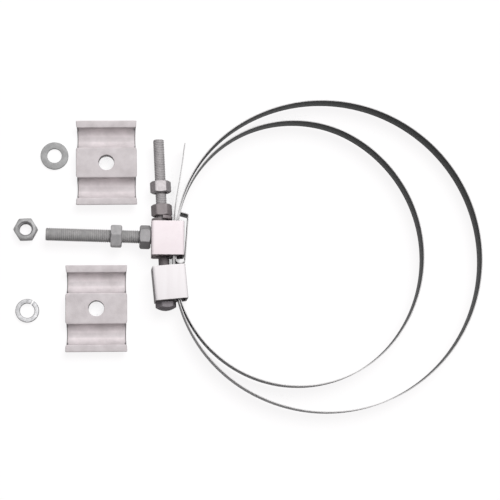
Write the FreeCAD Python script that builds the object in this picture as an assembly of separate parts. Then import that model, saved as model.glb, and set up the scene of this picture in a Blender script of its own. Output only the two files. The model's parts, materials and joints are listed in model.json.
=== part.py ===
import FreeCAD, Part
import math
import os

# Downlead clamp for a pole: a steel band with its two-bracket buckle, a stand-off stud and
# two grooved cable plates, laid out on a table with the plates' loose hardware beside them.
# Millimetres, +Z up, +X from the loose hardware towards the band's far side. The pieces are
# placed from the point where the tension bolt crosses the middle of the upper bracket, and
# at the end they all move so that the origin is the middle of the whole kit's base.

# Folded brackets of the buckle
bracket_width = 28.2
bracket_height = 29.4
bracket_depth = 25.5
bracket_sheet = 2.0
bracket_bend = 1.0
bolt_side = 10.1
tab_length = 17.5
tab_slit = 0.3
bolt_hole_room = 1.15
upper_turn = 0.3
lower_turn = 6.0
lower_roll = 2.3
bracket_gap = 9.2

# Tension bolt with its two nuts and spring washer
bolt_diameter = 10.0
bolt_length = 141.4
bolt_lean = 3.05
bolt_head_height = 7.7
bolt_head_turn = 10.0
bolt_flats = 16.0
bolt_corners = 17.8
bolt_nut_height = 10.0
bolt_end_chamfer = 0.9
lock_nut_rise = 10.4
washer_to_nut = 0.1
bolt_washer_section = 2.2
bolt_washer_width = 3.9
bolt_washer_rise = 3.0

# Stand-off stud with its two nuts
stud_diameter = 12.0
stud_reach = 89.8
stud_lean = 1.1
stud_rise = 2.0
stud_inner_end = 0.7
stud_flats = 18.0
stud_corners = 20.8
stud_nut_height = 9.6
stud_end_chamfer = 1.1
stud_nut_spacing = 15.05

# Running fits and seats between the pieces
thread_room = 0.05
seat_room = 0.05
washer_room = 0.1

# Steel band: its strip and how its strands cross the brackets
band_thickness = 0.8
band_width = 19.0
band_lift = 3.3
strand_lean = 3.7
first_strand = 11.9
second_strand = 10.6
strand_spacing = 1.0
tail_lean = 1.4
strand_bend_radius = 25.0
loop_start_lean = 7.0

# Steel band: the hooked end round the upper bracket's right wall
hook_room = 0.3
hook_rise = 5.3
hook_bend_radius = 1.2
hook_bar_length = 5.8
hook_bar_heading = 165.0
hook_drop = 2.8

# Steel band: the two rising strands between the loops and the upper bracket
rise_heading = 96.0
rise_top_radius = 60.0
rise_straight = 12.3
inner_low_radius = 82.6
outer_low_radius = 109.5
inner_end_heading = 108.0
outer_end_heading = 105.0

# Steel band: the two loops for the pole
inner_loop_radius = 118.9
inner_loop_x = 105.9
inner_loop_y = -11.2
outer_loop_radius = 135.5
outer_loop_x = 140.3
outer_loop_y = -11.7

# Steel band: the free tail above the upper bracket
tail_bow_radius = 190.0
tail_bow_turn = 7.6
tail_straight = 18.0
tail_tip_turn = 3.0
tail_tip_length = 26.0

# Cable plates
plate_length = 52.4
plate_lip = 6.3
plate_land = 26.7
groove_radius = 8.75
groove_wall = 3.5
lip_thickness = 5.0
land_thickness = 8.0
plate_draft = 8.0
plate_hole_room = 1.0
groove_mouth = 1.8
upper_plate_x = -49.35
upper_plate_y = 67.4
upper_plate_turn = 1.2
lower_plate_x = -56.05
lower_plate_y = -59.6
lower_plate_turn = 0.9

# Loose hardware of the plates
flat_washer_width = 24.0
flat_washer_room = 0.5
flat_washer_thickness = 2.5
flat_washer_x = -94.6
flat_washer_y = 74.7
loose_nut_x = -117.7
loose_nut_y = 8.8
loose_nut_turn = 3.0
loose_spring_section = 2.5
loose_spring_width = 4.45
loose_spring_rise = 2.5
loose_spring_x = -114.6
loose_spring_y = -61.1
loose_spring_split = 61.0
spring_slit = 12.0

# Shared proportions of nuts and bolt heads
hex_face_share = 0.95
hex_chamfer_angle = 30.0

vector = FreeCAD.Vector
up = vector(0, 0, 1)
bolt_radius = bolt_diameter / 2
stud_radius = stud_diameter / 2
axis_height = bracket_depth / 2
half_height = bracket_height / 2
right_face = bracket_width - bolt_side
bolt_direction = vector(-math.sin(math.radians(bolt_lean)), math.cos(math.radians(bolt_lean)), 0)
stud_direction = vector(-math.cos(math.radians(stud_lean)), math.sin(math.radians(stud_lean)), 0)
bolt_point = vector(0, 0, axis_height)


def tangent(degrees):
    return math.tan(math.radians(degrees))


def heading_vector(degrees):
    return vector(math.cos(math.radians(degrees)), math.sin(math.radians(degrees)), 0)


# A piece made about +Z is laid along a direction, with its own +X turned to face up
def laid_along(shape, point, direction):
    place = FreeCAD.Placement(point, FreeCAD.Rotation(up, vector(), direction, "ZXY"))
    shape.Placement = place.multiply(shape.Placement)
    return shape


def revolved(points):
    profile = Part.makePolygon([vector(radius, 0, height) for radius, height in points], True)
    return Part.Face(profile).revolve(vector(), up, 360)


def hexagon_prism(flats, height, first_corner):
    corner = flats / math.sqrt(3)
    corners = [heading_vector(first_corner + 60 * side) * corner for side in range(6)]
    return Part.Face(Part.makePolygon(corners, True)).extrude(vector(0, 0, height))


# A hexagon cut down to a turned blank as wide as its rounded corners. Its top is a flat disc
# with a 30 degree cone running out to the corners, and its other end is the flat seat.
def chamfered_hexagon(flats, corners, height, first_corner):
    face = flats / 2 * hex_face_share
    outside = corners / 2
    shoulder = height - (outside - face) * tangent(hex_chamfer_angle)
    blank = revolved([(0, 0), (outside, 0), (outside, shoulder), (face, height), (0, height)])
    return hexagon_prism(flats, height, first_corner).common(blank)


# A nut stands on its seat at z = 0 with its bore along +Z
def nut(flats, corners, height, bore, first_corner):
    body = chamfered_hexagon(flats, corners, height, first_corner)
    return body.cut(Part.makeCylinder(bore, height))


def chamfered_rod(radius, length, chamfer):
    points = [(0, 0), (radius - chamfer, 0), (radius, chamfer)]
    points += [(radius, length - chamfer), (radius - chamfer, length), (0, length)]
    return revolved(points)


# A split spring washer is a flat ring cut through at its +X, whose two halves bend apart
# from the back of the bore: the far half rises to its end and the near half falls to its
# end. It stands on z = 0.
def spring_washer(inner_radius, width, section, rise):
    outer_radius = inner_radius + width
    tube = Part.makeCylinder(outer_radius, section + rise)
    tube = tube.cut(Part.makeCylinder(inner_radius, section + rise))
    half_gap = inner_radius * math.sin(math.radians(spring_slit / 2))
    middle = rise / 2
    halves = []
    for side in (1, -1):
        end = middle + side * rise / 2
        corners = [(-outer_radius, middle), (-inner_radius, middle), (outer_radius, end)]
        corners += [(outer_radius, end + section), (-inner_radius, middle + section)]
        corners += [(-outer_radius, middle + section)]
        bent = Part.Face(Part.makePolygon([vector(x, 0, z) for x, z in corners], True))
        bent = bent.extrude(vector(0, side * outer_radius, 0))
        slit = Part.makeBox(outer_radius, 2 * half_gap, section + rise, vector(0, -half_gap, 0))
        halves.append(tube.common(bent).cut(slit))
    return halves[0].fuse(halves[1]).removeSplitter()


def rounded_prism(x_low, x_high, z_low, z_high, radius, length):
    block = Part.makeBox(x_high - x_low, length, z_high - z_low, vector(x_low, -length / 2, z_low))
    edges = [edge for edge in block.Edges if abs(edge.tangentAt(edge.FirstParameter).y) > 0.9]
    return block.makeFillet(radius, edges)


# A bracket is one folded sheet, open above and below on the band's side. Its own origin is
# the middle of the bolt's line: front and rear walls, left web, right wall, and two tabs
# that fold in from the web and carry the bolt.
def bracket():
    half_depth = bracket_depth / 2
    outer = rounded_prism(-bolt_side, right_face, -half_depth, half_depth,
                          bracket_sheet + bracket_bend, bracket_height)
    inner = rounded_prism(-bolt_side + bracket_sheet, right_face - bracket_sheet,
                          -half_depth + bracket_sheet, half_depth - bracket_sheet,
                          bracket_bend, bracket_height + 2)
    body = outer.cut(inner)
    tab_depth = bracket_depth - 2 * bracket_sheet - 2 * tab_slit
    tab_low = half_height - bracket_sheet
    for side in (1, -1):
        low_face = min(side * tab_low, side * half_height)
        corner = vector(-bolt_side + bracket_sheet / 2, low_face, -tab_depth / 2)
        tab = Part.makeBox(tab_length - bracket_sheet / 2, bracket_sheet, tab_depth, corner)
        body = body.fuse(tab)
    hole = Part.makeCylinder(bolt_radius + bolt_hole_room, bracket_height + 2,
                             vector(0, -half_height - 1, 0), vector(0, 1, 0))
    return body.cut(hole).removeSplitter()


def upper_bracket():
    body = bracket()
    body.rotate(vector(), up, upper_turn)
    body.translate(bolt_point)
    hole = Part.makeCylinder(stud_radius + thread_room, 4 * bracket_sheet,
                             stud_point(bracket_sheet * 2), stud_direction * -1)
    return body.cut(hole)


# The rolled bracket rests on the lower edge of its right wall, clear of the rounded bend
def lower_bracket_centre():
    centre = bolt_point - bolt_direction * lower_distance
    roll = math.radians(lower_roll)
    bend = bracket_sheet + bracket_bend
    reach = (right_face - bend) * math.sin(roll) + (bracket_depth / 2 - bend) * math.cos(roll) + bend
    return vector(centre.x, centre.y, reach)


def lower_bracket():
    body = bracket()
    body.rotate(vector(), vector(0, 1, 0), lower_roll)
    body.rotate(vector(), up, lower_turn)
    body.translate(lower_bracket_centre())
    return body


# Distances along the bolt, measured up from the middle of the upper bracket
lower_distance = bracket_height + bracket_gap
head_seat = lower_distance + half_height / math.cos(math.radians(lower_turn - bolt_lean))
head_seat += bolt_flats / math.sqrt(3) * tangent(lower_turn - bolt_lean) + seat_room
washer_seat = half_height + seat_room
washer_seat += (bolt_radius + washer_room + bolt_washer_width) * tangent(bolt_lean - upper_turn)
tension_nut_seat = washer_seat + bolt_washer_section + bolt_washer_rise + washer_to_nut
lock_nut_seat = tension_nut_seat + bolt_nut_height + lock_nut_rise


def tension_bolt():
    shank = chamfered_rod(bolt_radius, bolt_length + bolt_head_height / 2, bolt_end_chamfer)
    shank.translate(vector(0, 0, bolt_head_height / 2))
    head = chamfered_hexagon(bolt_flats, bolt_corners, bolt_head_height, 30 - bolt_head_turn)
    head.rotate(vector(0, 0, bolt_head_height / 2), vector(1, 0, 0), 180)
    bolt = head.fuse(shank).removeSplitter()
    return laid_along(bolt, bolt_point - bolt_direction * (head_seat + bolt_head_height), bolt_direction)


def bolt_nut(seat):
    shape = nut(bolt_flats, bolt_corners, bolt_nut_height, bolt_radius + thread_room, 30)
    return laid_along(shape, bolt_point + bolt_direction * seat, bolt_direction)


def tension_spring_washer():
    inner_radius = bolt_radius + washer_room
    ring = spring_washer(inner_radius, bolt_washer_width, bolt_washer_section, bolt_washer_rise)
    return laid_along(ring, bolt_point + bolt_direction * washer_seat, bolt_direction)


# A point of the stud's axis, by its distance out from the bracket's left face
def stud_point(distance):
    foot = vector(-bolt_side, stud_rise, axis_height)
    return foot + stud_direction * distance


stud_nut_seat = stud_flats / math.sqrt(3) * tangent(stud_lean + upper_turn) + seat_room
stud_nut_seat += (half_height - stud_rise) * tangent(upper_turn)
middle_nut_seat = stud_nut_seat + stud_nut_height + stud_nut_spacing


def standoff_stud():
    inside = bracket_sheet + stud_inner_end
    rod = chamfered_rod(stud_radius, stud_reach + inside, min(stud_end_chamfer, stud_inner_end))
    return laid_along(rod, stud_point(-inside), stud_direction)


def stud_size_nut(first_corner):
    return nut(stud_flats, stud_corners, stud_nut_height, stud_radius + thread_room, first_corner)


def stud_nut(seat, first_corner):
    return laid_along(stud_size_nut(first_corner), stud_point(seat), stud_direction)


# A route is a chain of straight runs and tangent arcs. It starts at a point with a heading
# in degrees, and a turn to the left is positive.
class Route:
    def __init__(self, point, heading):
        self.point = point
        self.heading = heading
        self.pieces = []

    def straight(self, length):
        end = self.point + heading_vector(self.heading) * length
        self.pieces.append((self.point, end, self.heading, self.heading, 0))
        self.point = end
        return self

    def turn(self, radius, angle):
        side = heading_vector(self.heading + math.copysign(90, angle))
        centre = self.point + side * radius
        end = centre + heading_vector(self.heading + angle - math.copysign(90, angle)) * radius
        self.pieces.append((self.point, end, self.heading, self.heading + angle, radius))
        self.point = end
        self.heading += angle
        return self

    def backwards(self):
        pieces = []
        for start, end, first, last, radius in reversed(self.pieces):
            pieces.append((end, start, last + 180, first + 180, radius))
        return pieces


# An easing arc leaves a point along a heading and runs into a circle, both turning to the
# right. Its radius follows from the triangle of the two centres and the point.
def easing_arc(point, heading, centre, radius):
    right = heading_vector(heading - 90)
    to_centre = centre - point
    reach = to_centre.dot(to_centre) - radius * radius
    ease = reach / (2 * (right.dot(to_centre) - radius))
    ease_centre = point + right * ease
    outward = (centre - ease_centre).normalize()
    outward = outward if ease > radius else outward * -1
    return ease, math.degrees(math.atan2(outward.y, outward.x)) - 90


# A loop round the pole: an easing arc, the main circle and an easing arc into the buckle
def loop_pieces(start, start_heading, end, end_heading, centre, radius):
    first_ease, first_heading = easing_arc(start, start_heading, centre, radius)
    last_ease, last_heading = easing_arc(end, end_heading, centre, radius)
    first_turn = (start_heading - first_heading) % 360
    last_turn = (last_heading - end_heading) % 360
    route = Route(start, start_heading)
    route.turn(first_ease, -first_turn)
    route.turn(radius, -(360 + start_heading - end_heading - first_turn - last_turn))
    route.turn(last_ease, -last_turn)
    return route.pieces


# One side of the strip's outline: each piece moved off the route by half the thickness
def offset_edges(pieces, offset):
    edges = []
    for start, end, first, last, radius in pieces:
        begin = start + heading_vector(first + 90) * offset
        finish = end + heading_vector(last + 90) * offset
        if radius == 0:
            edges.append(Part.makeLine(begin, finish))
            continue
        middle_heading = (first + last) / 2
        centre = start + heading_vector(first + math.copysign(90, last - first)) * radius
        side = heading_vector(middle_heading - math.copysign(90, last - first))
        middle = centre + side * radius + heading_vector(middle_heading + 90) * offset
        edges.append(Part.Arc(begin, middle, finish).toShape())
    return edges


def strand_up(foot, lean):
    route = Route(foot, 90 - lean)
    route.straight((half_height - strand_bend_radius * math.sin(math.radians(lean)) / 2)
                   / math.cos(math.radians(lean)))
    return route.turn(strand_bend_radius, lean - loop_start_lean)


# The strand between a loop's end and the upper bracket, drawn from the bracket down: an arc
# from the strand's lean to the rising heading, a straight run, and an arc to the loop
def strand_down(foot, lean):
    route = Route(foot, -90 - lean)
    route.straight((half_height - bracket_sheet) / math.cos(math.radians(lean)))
    route.turn(rise_top_radius, rise_heading - 90 + lean)
    route.straight(rise_straight)
    return route.turn(inner_low_radius, inner_end_heading - rise_heading)


def band_route():
    lean = math.radians(strand_lean)
    corner = right_face + half_height * math.sin(math.radians(upper_turn))
    hook_x = corner + hook_room + band_thickness / 2 + half_height * math.tan(lean)
    slot_spacing = (hook_x - first_strand) * math.cos(lean)
    fold = half_height + hook_drop

    hook = Route(vector(hook_x, 0, 0), 90 - strand_lean)
    hook.straight((half_height + hook_rise) / math.cos(lean))
    hook.turn(hook_bend_radius, hook_bar_heading - 90 + strand_lean)
    hook.straight(hook_bar_length)

    fall = Route(vector(hook_x, 0, 0), -90 - strand_lean)
    fall.straight(fold / math.cos(lean) + slot_spacing / 2 * math.tan(lean))
    fall.turn(slot_spacing / 2, -180)
    fall.straight(fold / math.cos(lean) - slot_spacing / 2 * math.tan(lean))

    first = strand_up(vector(first_strand, 0, 0), strand_lean)
    second = strand_up(vector(second_strand, 0, 0), strand_lean)
    second_low = strand_down(vector(second_strand, 0, 0), strand_lean)
    return hook, fall, first, second, second_low


def tail_routes(second_low):
    top_start = second_low.pieces[1][1]
    offset = heading_vector(rise_heading + 90) * strand_spacing
    route = Route(top_start + offset, rise_heading)
    route.turn(rise_top_radius + strand_spacing, 90 - tail_lean - rise_heading)
    to_top = half_height - route.point.y
    route.straight(to_top / math.cos(math.radians(tail_lean)))
    route.turn(tail_bow_radius, -tail_bow_turn)
    route.straight(tail_straight)
    tip_radius = tail_tip_length / math.radians(tail_tip_turn)
    route.turn(tip_radius, tail_tip_turn)

    low = Route(top_start + offset, rise_heading + 180)
    low.straight(rise_straight)
    low.turn(outer_low_radius, outer_end_heading - rise_heading)
    return low, route


def band_pieces():
    hook, fall, first, second, second_low = band_route()
    tail_low, tail = tail_routes(second_low)
    inner_centre = vector(inner_loop_x, inner_loop_y, 0)
    outer_centre = vector(outer_loop_x, outer_loop_y, 0)
    pieces = hook.backwards() + fall.pieces + first.pieces
    pieces += loop_pieces(first.point, first.heading, second_low.point, inner_end_heading,
                          inner_centre, inner_loop_radius)
    pieces += second_low.backwards() + second.pieces
    pieces += loop_pieces(second.point, second.heading, tail_low.point, outer_end_heading,
                          outer_centre, outer_loop_radius)
    pieces += tail_low.backwards() + tail.pieces
    return pieces


# The band is one strip on edge. It leans a little about the buckle, so that the far side of
# the outer loop touches the table while the brackets hold the near side up.
def band():
    pieces = band_pieces()
    left = offset_edges(pieces, band_thickness / 2)
    right = offset_edges(pieces, -band_thickness / 2)
    caps = [Part.makeLine(left[-1].Vertexes[-1].Point, right[-1].Vertexes[-1].Point)]
    caps += [Part.makeLine(left[0].Vertexes[0].Point, right[0].Vertexes[0].Point)]
    outline = Part.Wire(Part.__sortEdges__(left + right + caps))
    strip = Part.Face(outline).extrude(vector(0, 0, band_width))
    strip.translate(vector(0, 0, band_lift))
    far_side = outer_loop_x + outer_loop_radius + band_thickness / 2
    tilt = math.degrees(math.atan2(band_lift, far_side - second_strand))
    strip.rotate(vector(second_strand, 0, 0), vector(0, 1, 0), tilt)
    return strip


# The cable plate's section, from its middle out: the land, a half-round groove with an even
# wall under it, and the lip, whose outer side slopes in as the plate's ends do. The wall's two
# bulges are what the plate stands on.
def plate_section():
    top = groove_wall + groove_radius
    groove_middle = plate_land / 2 + groove_radius
    edge = groove_middle + groove_radius + plate_lip
    bulge = groove_radius + groove_wall
    lip_low = top - lip_thickness
    low_edge = edge - lip_thickness * tangent(plate_draft)
    land_low = top - land_thickness
    lip_inner = groove_middle + math.sqrt(bulge ** 2 - lip_thickness ** 2)
    land_outer = groove_middle - math.sqrt(bulge ** 2 - land_thickness ** 2)
    edges = []
    for side in (1, -1):
        edges.append(Part.makeLine(vector(0, 0, top), vector(0, side * plate_land / 2, top)))
        edges.append(Part.Arc(vector(0, side * plate_land / 2, top),
                              vector(0, side * groove_middle, groove_wall),
                              vector(0, side * (edge - plate_lip), top)).toShape())
        edges.append(Part.makeLine(vector(0, side * (edge - plate_lip), top), vector(0, side * edge, top)))
        edges.append(Part.makeLine(vector(0, side * edge, top), vector(0, side * low_edge, lip_low)))
        edges.append(Part.makeLine(vector(0, side * low_edge, lip_low),
                                   vector(0, side * lip_inner, lip_low)))
        edges.append(Part.Arc(vector(0, side * lip_inner, lip_low), vector(0, side * groove_middle, 0),
                              vector(0, side * land_outer, land_low)).toShape())
        edges.append(Part.makeLine(vector(0, side * land_outer, land_low), vector(0, 0, land_low)))
    return Part.Face(Part.Wire(Part.__sortEdges__(edges)))


def cable_plate(x, y, turn):
    top = groove_wall + groove_radius
    half_top = plate_length / 2
    half_low = half_top - top * tangent(plate_draft)
    body = plate_section().extrude(vector(plate_length, 0, 0))
    body.translate(vector(-half_top, 0, 0))
    reach = plate_length + plate_land
    ends = [vector(-half_low, -reach, 0), vector(half_low, -reach, 0)]
    ends += [vector(half_top, -reach, top), vector(-half_top, -reach, top)]
    drafted = Part.Face(Part.makePolygon(ends, True)).extrude(vector(0, 2 * reach, 0))
    body = body.common(drafted).removeSplitter()
    for end in (1, -1):
        for side in (1, -1):
            body = body.cut(groove_mouth_flare(end, side))
    hole = Part.makeCylinder(stud_radius + plate_hole_room, top + 2, vector(0, 0, -1))
    body = body.cut(hole)
    body.rotate(vector(), up, turn)
    body.translate(vector(x, y, 0))
    return body


# Each groove opens out at its two mouths, as a 45 degree cone on the groove's own axis
def groove_mouth_flare(end, side):
    start = plate_length / 2 - groove_mouth
    middle = vector(end * start, side * (plate_land / 2 + groove_radius), groove_wall + groove_radius)
    reach = 2 * groove_mouth
    return Part.makeCone(groove_radius, groove_radius + reach, reach, middle, vector(end, 0, 0))


def flat_washer():
    outer = Part.makeCylinder(flat_washer_width / 2, flat_washer_thickness)
    ring = outer.cut(Part.makeCylinder(stud_radius + flat_washer_room, flat_washer_thickness))
    ring.translate(vector(flat_washer_x, flat_washer_y, 0))
    return ring


def loose_nut():
    shape = stud_size_nut(loose_nut_turn)
    shape.translate(vector(loose_nut_x, loose_nut_y, 0))
    return shape


def loose_spring_washer():
    ring = spring_washer(stud_radius + washer_room, loose_spring_width, loose_spring_section,
                         loose_spring_rise)
    ring.rotate(vector(), up, loose_spring_split)
    ring.translate(vector(loose_spring_x, loose_spring_y, 0))
    return ring


pieces = {
    "upper_bracket": upper_bracket(),
    "lower_bracket": lower_bracket(),
    "tension_bolt": tension_bolt(),
    "tension_nut": bolt_nut(tension_nut_seat),
    "lock_nut": bolt_nut(lock_nut_seat),
    "tension_spring_washer": tension_spring_washer(),
    "standoff_stud": standoff_stud(),
    "stud_base_nut": stud_nut(stud_nut_seat, 30),
    "stud_middle_nut": stud_nut(middle_nut_seat, 0),
    "pole_band": band(),
    "upper_cable_plate": cable_plate(upper_plate_x, upper_plate_y, upper_plate_turn),
    "lower_cable_plate": cable_plate(lower_plate_x, lower_plate_y, lower_plate_turn),
    "plate_washer": flat_washer(),
    "plate_nut": loose_nut(),
    "plate_spring_washer": loose_spring_washer(),
}

whole = Part.makeCompound(list(pieces.values())).optimalBoundingBox(False, False)
origin = vector((whole.XMin + whole.XMax) / 2, (whole.YMin + whole.YMax) / 2, 0)
os.makedirs("parts", exist_ok=True)
for name, shape in pieces.items():
    shape.translate(origin * -1)
    shape.exportStep("parts/" + name + ".step")
    box = shape.optimalBoundingBox(False, False)
    corners = [box.XMin, box.YMin, box.ZMin, box.XMax, box.YMax, box.ZMax]
    corners = [round(value, 2) for value in corners]
    print(name, len(shape.Solids), "solid, volume", round(shape.Volume), corners, shape.isValid())

print("Size of the whole kit", round(whole.XLength, 2), round(whole.YLength, 2), round(whole.ZLength, 2))
places = {
    "bolt crossing": bolt_point,
    "tension nut middle": bolt_point + bolt_direction * (tension_nut_seat + bolt_nut_height / 2),
    "stud free end": stud_point(stud_reach),
    "stud middle nut outer face": stud_point(middle_nut_seat + stud_nut_height),
    "inner loop middle": vector(inner_loop_x, inner_loop_y, 0),
    "outer loop middle": vector(outer_loop_x, outer_loop_y, 0),
    "upper plate middle": vector(upper_plate_x, upper_plate_y, 0),
    "lower plate middle": vector(lower_plate_x, lower_plate_y, 0),
}
for name, place in places.items():
    moved = place - origin
    print(name, round(moved.x, 3), round(moved.y, 3), round(moved.z, 3))
print("Bolt direction", bolt_direction)
print("Stud direction", stud_direction)
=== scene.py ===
# %% [markdown]
# # A downlead clamp, dressed for its portrait
# The clamp is a steel band that goes twice round a pole and is drawn tight by a screw buckle.
# A stand-off stud carries two grooved plates that hold cables coming down the pole. The solid
# model gives every piece its place and its motion. This lesson dresses it: each piece is worked
# out again as a smooth surface, with threads, soft edges and a finish of its own.
#
# The first cell loads the solid model. It is the fixed frame: nothing in it is ever moved, and
# each new surface stands in for one of its pieces, or for a part of one.

# %% Load the frame
import json
import math
import bpy
import bmesh
import numpy as np
from mathutils import Matrix


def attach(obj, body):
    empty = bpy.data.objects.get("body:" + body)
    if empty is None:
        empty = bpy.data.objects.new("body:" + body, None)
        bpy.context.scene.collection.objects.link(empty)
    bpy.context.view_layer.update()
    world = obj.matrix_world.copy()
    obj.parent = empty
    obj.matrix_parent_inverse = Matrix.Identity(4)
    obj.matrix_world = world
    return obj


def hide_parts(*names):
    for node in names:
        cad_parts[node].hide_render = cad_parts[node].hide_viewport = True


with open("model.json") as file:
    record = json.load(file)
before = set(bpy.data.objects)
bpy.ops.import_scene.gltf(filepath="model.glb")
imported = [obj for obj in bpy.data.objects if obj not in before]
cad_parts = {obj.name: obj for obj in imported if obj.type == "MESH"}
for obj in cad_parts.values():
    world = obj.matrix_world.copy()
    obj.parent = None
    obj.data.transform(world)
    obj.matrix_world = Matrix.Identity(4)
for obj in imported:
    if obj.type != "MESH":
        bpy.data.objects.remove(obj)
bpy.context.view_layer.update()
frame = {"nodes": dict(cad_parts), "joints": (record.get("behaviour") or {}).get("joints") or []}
print("Pieces in the frame:", len(frame["nodes"]))

# %% [markdown]
# All measures here are millimetres, and they are divided by a thousand where Blender is given
# them. Everything is laid out from one point, where the bolt crosses the middle of the upper
# bracket. The frame tells the tension nut's middle and its axis, so stepping back along the
# bolt from there finds that point, and the scene follows the model if it is moved. Pieces are
# placed from the spot on the table that lies straight under it.

# %% Find the crossing point
MM = 1000
NUT_TO_CROSSING = 25.482
tension_joint = {joint["name"]: joint for joint in frame["joints"]}["tension_nut_turn"]
bolt_axis = np.array(tension_joint["axis"], float)
bolt_axis /= np.linalg.norm(bolt_axis)
crossing = np.array(tension_joint["pos_m"], float) * MM - bolt_axis * NUT_TO_CROSSING
on_table = crossing * (1, 1, 0)
print("Crossing point, mm:", crossing.round(3))

# %% [markdown]
# The camera comes first, because everything after it is judged through it. That shows the front
# edges of the brackets and the inner face of the band at the top of its loops.

# %% Camera
AIM_FROM_CROSSING, EYE_FROM_AIM = (75.85, -5.9, 0), (-94.0, -218.0, 1330.0)
LENS, SENSOR, FARTHEST = 111.9, 36.0, 20.0
aim = on_table + AIM_FROM_CROSSING
eye = aim + EYE_FROM_AIM
back = (eye - aim) / np.linalg.norm(eye - aim)
level = np.array((0.0, 1.0, 0.0)) - back[1] * back
level /= np.linalg.norm(level)
camera_data = bpy.data.cameras.new("camera")
camera_data.lens = LENS
camera_data.sensor_width = SENSOR
camera_data.clip_end = FARTHEST
camera = bpy.data.objects.new("camera", camera_data)
bpy.context.scene.collection.objects.link(camera)
turn = Matrix([list(row) for row in np.column_stack((np.cross(level, back), level, back))])
camera.matrix_world = Matrix.Translation(eye / MM) @ turn.to_4x4()
bpy.context.scene.camera = camera
print("Camera height, m:", round(camera.location.z, 3))

# %% [markdown]
# Surfaces come next, as a few helpers. A surface here is a grid of points: one array with a row
# for each step along the piece and a column for each step round it. Blender wants a list of
# corners and a list of faces, and both come from the grid's own numbering, so no vertex is ever
# visited one by one. Where a grid closes on itself, its last row joins its first. A pole or a
# seam puts two corners in one place, and merging corners by distance closes it.

# %% Grids into meshes
MERGE = 1e-6
CREASE = math.radians(32)


def grid_faces(rows, columns, closed_rows):
    """Each face takes four neighbours: (i, j), (i, j+1), (i+1, j+1), (i+1, j). Columns are
    counted round to the start again, and so are the rows of a closed grid."""
    i = np.arange(rows if closed_rows else rows - 1)
    i, j = np.meshgrid(i, np.arange(columns), indexing="ij")
    next_i = (i + 1) % rows
    next_j = (j + 1) % columns
    corners = [i * columns + j, i * columns + next_j,
               next_i * columns + next_j, next_i * columns + j]
    return np.stack(corners, -1).reshape(-1, 4)


def grid(points, closed_rows=False, keep=None):
    """A grid of points with its faces. keep, if given, says which faces stay."""
    rows, columns, _ = points.shape
    faces = grid_faces(rows, columns, closed_rows)
    points = points.reshape(-1, 3)
    return points, (faces if keep is None else faces[keep(points[faces])])


def put(name, parts, body, nodes, material, polygons=()):
    """One mesh object from several grids: corners in mm, counted from the spot under the
    crossing point, become metres in the frame, doubles are merged, and normals are turned
    outwards. It rides on the body and stands in for the frame's nodes."""
    corners, faces, first = [], [], 0
    for points, quads in parts:
        corners.append(points)
        faces += (quads + first).tolist()
        first += len(points)
    faces += [list(p) for p in polygons]
    place = (np.concatenate(corners) + on_table) / MM
    mesh = bpy.data.meshes.new(name)
    mesh.from_pydata(place.tolist(), [], faces)
    work = bmesh.new()
    work.from_mesh(mesh)
    bmesh.ops.remove_doubles(work, verts=work.verts, dist=MERGE)
    bmesh.ops.recalc_face_normals(work, faces=work.faces)
    work.to_mesh(mesh)
    work.free()
    mesh.shade_smooth()
    mesh.set_sharp_from_angle(angle=CREASE)
    mesh.materials.append(material)
    piece = bpy.data.objects.new(name, mesh)
    bpy.context.scene.collection.objects.link(piece)
    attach(piece, body)
    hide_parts(*nodes)
    print(name, "faces:", len(mesh.polygons))


def laid(points, foot, axis):
    """Points made about +Z, turned so that Z runs along the axis and X faces up, with their
    origin at the foot."""
    across = np.cross(axis, (0, 0, 1))
    return points @ np.array([(0, 0, 1), across, axis]) + foot


def turned(points, degrees, centre=(0, 0, 0)):
    """Points turned about the vertical through their origin, then moved to the centre."""
    c, s = math.cos(math.radians(degrees)), math.sin(math.radians(degrees))
    return points @ np.array([(c, s, 0), (-s, c, 0), (0, 0, 1)]) + centre


# %% [markdown]
# Two more shapes are shared by many pieces. A rounded box is the outline of a strip's or a
# sheet's section: sheared steel never has a truly sharp edge, and a small radius catches light.
# It could be a bevel modifier, but as a formula it can be carried along any path.

# %% Rounded outlines
def rounded_box(width, height, radius, steps=4):
    """A closed outline: four quarter circles of the radius, one in each corner of the box,
    each running a quarter turn on from the last. Straight sides join them by themselves."""
    quarter = np.linspace(0, math.pi / 2, steps + 1)
    angle = np.concatenate([quarter + k * math.pi / 2 for k in range(4)])
    sign_x = np.repeat([1, -1, -1, 1], steps + 1)
    sign_y = np.repeat([1, 1, -1, -1], steps + 1)
    x = sign_x * (width / 2 - radius) + radius * np.cos(angle)
    y = sign_y * (height / 2 - radius) + radius * np.sin(angle)
    return x, y


def carried(path, sideways, upwards, outline, ends):
    """An outline carried along a path: at each point of the path the outline's x goes sideways
    and its y upwards. Ends close with the outline shrunk to the path itself."""
    x, y = outline
    across = sideways[:, None] * x[None, :, None]
    points = path[:, None] + across + upwards[:, None] * y[None, :, None]
    if ends:
        first = np.repeat(path[:1, None], len(x), 1)
        last = np.repeat(path[-1:, None], len(x), 1)
        points = np.concatenate([first, points, last])
    return points


# %% [markdown]
# ## Finishes
# Each finish is a small graph of nodes that reads the piece's own coordinates, so a pattern
# stays fixed to the metal from any side. They all share one recipe: a broad noise drifts the
# colour between two tones, a fine noise breaks up the gloss, and a bump gives the surface its
# tooth. What makes one metal differ from another is the size of the pattern, how far it is
# stretched along the brushing, and how much of the light it returns as a mirror would.
#
# In the photograph, faces differ in tone by the way they look, more than this plain light makes
# them: a bracket's upper face is nearly white, and its sides are dark. So some finishes have
# more pairs of tones, for faces that look up or down, along X, or away from a middle point. The
# surface's own normal picks them, the same for a camera on any side. They hold some of the
# photograph's light as well as its metal, so under other light the sides may look too dark. The
# band's two sides, black and grey here, are more alike on a real strip.

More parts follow.
